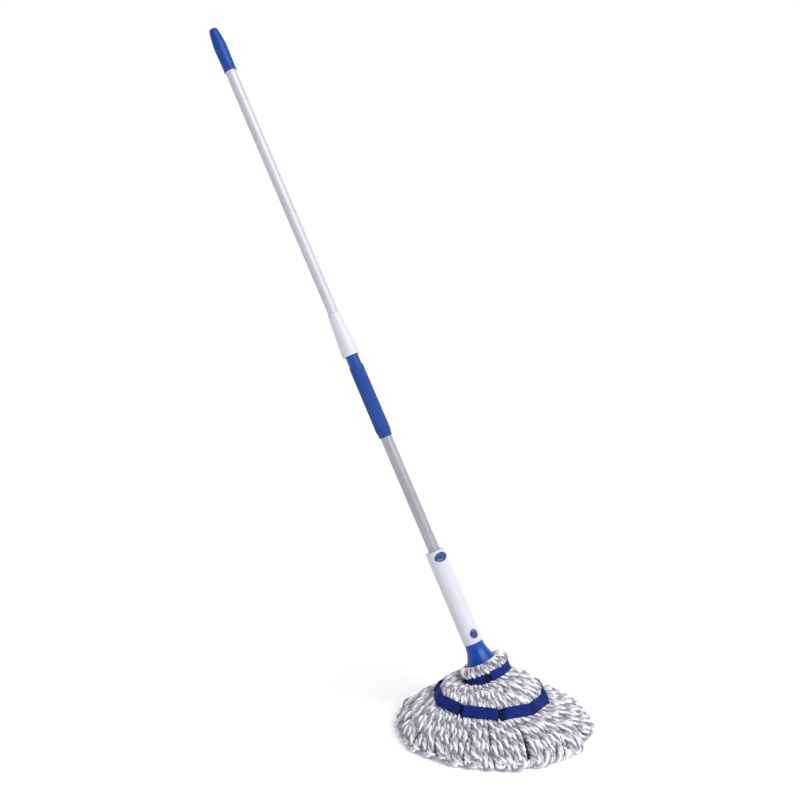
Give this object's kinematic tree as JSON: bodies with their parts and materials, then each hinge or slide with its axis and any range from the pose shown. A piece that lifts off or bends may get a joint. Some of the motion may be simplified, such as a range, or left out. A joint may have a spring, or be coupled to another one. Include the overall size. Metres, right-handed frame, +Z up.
{
  "type": "twist mop",
  "caption": "Self-wringing string mop with a telescopic pole, a sleeve that slides and twists to wring, and a spread head of looped strands.",
  "frame": {"origin": "middle of the head's footprint, on the floor", "axes": "+Z up; the pole leans 25 degrees from upright, towards -X; Y is across"},
  "size_m": [0.7687, 0.372, 1.3114],
  "materials": {
    "blue_plastic": "gloss moulded",
    "white_plastic": "satin moulded",
    "grey_plastic": "moulded",
    "tube_metal": "satin",
    "steel": "bright",
    "strand_cotton": "twisted yarn",
    "band_cloth": "woven webbing"
  },
  "bodies": {
    "mop_base": {"lower_tube": "tube_metal", "hand_grip": "blue_plastic", "collet_body": "blue_plastic", "collet": "grey_plastic", "hub": "grey_plastic", "clamp_plate": "grey_plastic", "hub_screw": "steel", "fringe": "strand_cotton"},
    "upper_pole": {"end_cap": "blue_plastic", "upper_tube": "tube_metal", "guide_bush": "grey_plastic"},
    "collar": {"lock_collar": "white_plastic"},
    "carrier": {"big_band": "band_cloth", "strand_dome": "strand_cotton"},
    "sleeve": {"wringer_sleeve": "white_plastic", "sleeve_liner": "grey_plastic", "wring_cone": "blue_plastic", "yarn_ring": "grey_plastic", "strand_collar": "strand_cotton", "small_band": "band_cloth", "release_spring": "steel", "head_spring": "steel"},
    "release_button": {"release_button": "blue_plastic"},
    "head_button": {"head_button": "blue_plastic"}
  },
  "joints": [
    {"name": "pole_telescope", "type": "slide", "parent": "mop_base", "child": "upper_pole", "axis": [0.4226, 0, -0.9063], "range_m": [0, 0.4]},
    {"name": "collar_twist", "type": "hinge", "parent": "mop_base", "child": "collar", "pos_m": [-0.28973, 0, 0.69423], "axis": [-0.4226, 0, 0.9063], "range_deg": [0, 90]},
    {"name": "sleeve_slide", "type": "slide", "parent": "mop_base", "child": "carrier", "axis": [-0.4226, 0, 0.9063], "range_m": [0, 0.22], "deforming": ["fringe"]},
    {"name": "wring_twist", "type": "hinge", "parent": "carrier", "child": "sleeve", "pos_m": [-0.01249, 0, 0.09969], "axis": [-0.4226, 0, 0.9063], "range_deg": [0, 480], "deforming": ["strand_dome"]},
    {"name": "release_press", "type": "slide", "parent": "sleeve", "child": "release_button", "axis": [-0.684, 0.6561, -0.319], "range_m": [0, 0.002], "stiffness_N_per_m": 800, "deforming": ["release_spring"]},
    {"name": "head_press", "type": "slide", "parent": "sleeve", "child": "head_button", "axis": [-0.684, 0.6561, -0.319], "range_m": [0, 0.002], "stiffness_N_per_m": 800, "deforming": ["head_spring"]}
  ]
}
